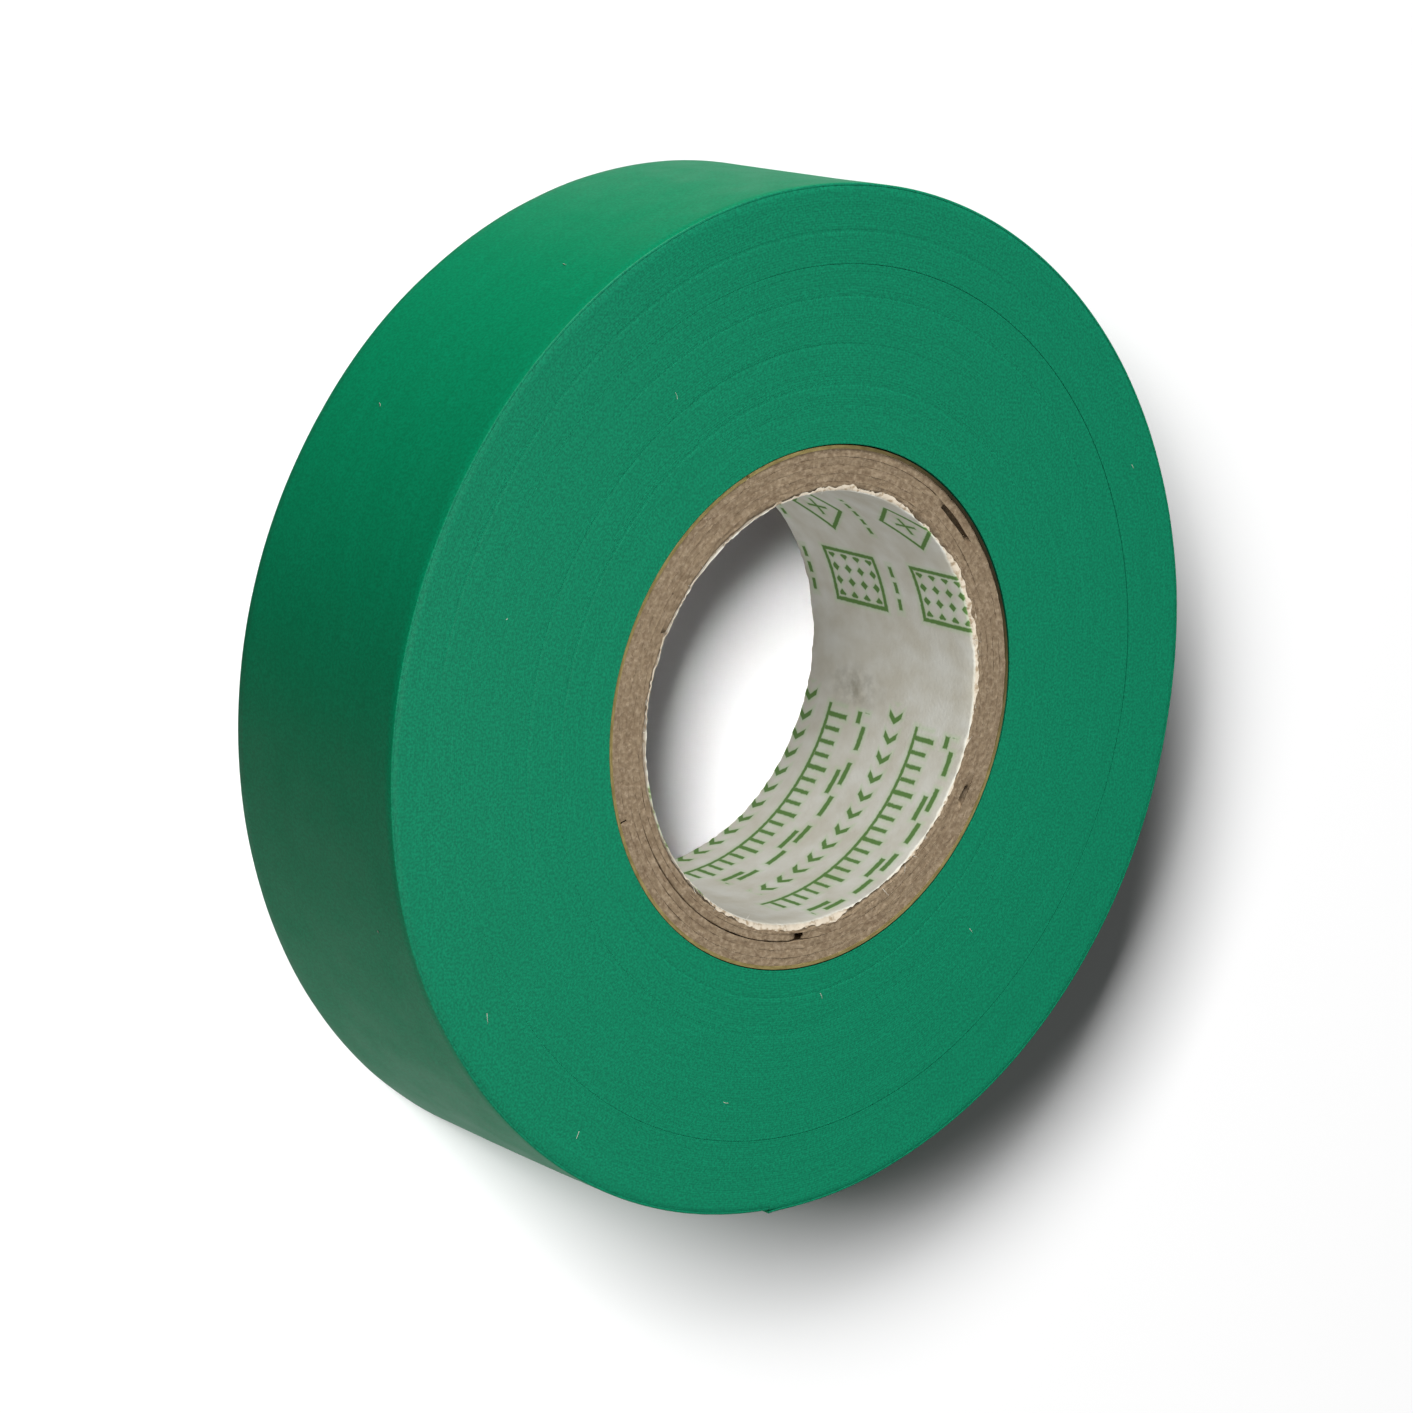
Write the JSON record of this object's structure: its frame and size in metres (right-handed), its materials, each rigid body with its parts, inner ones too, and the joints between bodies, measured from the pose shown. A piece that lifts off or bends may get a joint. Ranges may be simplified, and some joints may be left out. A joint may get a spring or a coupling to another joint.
{
  "type": "electrical tape roll",
  "caption": "Roll of green PVC electrical tape wound on a chipboard core with a paper liner; its free end peels and curls.",
  "frame": {"origin": "centre of the bore in the plane of the back face, which the roll lies on", "axes": "+Z along the bore from the back face to the front face, +X in the plane of the back face, 87 degrees counter-clockwise of the tip of the tape seen from +Z"},
  "size_m": [0.0786, 0.0787, 0.019],
  "materials": {
    "pvc_film": "satin",
    "chipboard": "matte",
    "liner_paper": "matte",
    "wrap_paper": "matte"
  },
  "bodies": {
    "roll": {"core_liner": "liner_paper", "core_ply_1": "chipboard", "core_ply_2": "chipboard", "core_ply_3": "chipboard", "core_ply_4": "chipboard", "core_ply_5": "chipboard", "core_wrap": "wrap_paper", "tape_first_turn": "pvc_film", "tape_inner_winding": "pvc_film", "tape_middle_winding": "pvc_film", "tape_outer_winding": "pvc_film", "tape_last_turn": "pvc_film"},
    "free_end_1": {"tape_end_1": "pvc_film"},
    "free_end_2": {"tape_end_2": "pvc_film"},
    "free_end_3": {"tape_end_3": "pvc_film"},
    "free_end_4": {"tape_end_4": "pvc_film"},
    "free_end_5": {"tape_end_5": "pvc_film"}
  },
  "joints": [
    {"name": "tape_peel", "type": "hinge", "parent": "roll", "child": "free_end_1", "pos_m": [0.02684, -0.02887, 0.0095], "axis": [0, 0, 1], "range_deg": [0, 28]},
    {"name": "tape_curl_2", "type": "hinge", "parent": "free_end_1", "child": "free_end_2", "pos_m": [0.02257, -0.03232, 0.0095], "axis": [0, 0, 1], "range_deg": [0, 28]},
    {"name": "tape_curl_3", "type": "hinge", "parent": "free_end_2", "child": "free_end_3", "pos_m": [0.01786, -0.03515, 0.0095], "axis": [0, 0, 1], "range_deg": [0, 28]},
    {"name": "tape_curl_4", "type": "hinge", "parent": "free_end_3", "child": "free_end_4", "pos_m": [0.0128, -0.03729, 0.0095], "axis": [0, 0, 1], "range_deg": [0, 28]},
    {"name": "tape_curl_5", "type": "hinge", "parent": "free_end_4", "child": "free_end_5", "pos_m": [0.00749, -0.03871, 0.0095], "axis": [0, 0, 1], "range_deg": [0, 28]}
  ],
  "couplings": [
    {"joint": "tape_curl_2", "follows": "tape_peel", "ratio": 1},
    {"joint": "tape_curl_3", "follows": "tape_peel", "ratio": 1},
    {"joint": "tape_curl_4", "follows": "tape_peel", "ratio": 1},
    {"joint": "tape_curl_5", "follows": "tape_peel", "ratio": 1}
  ]
}
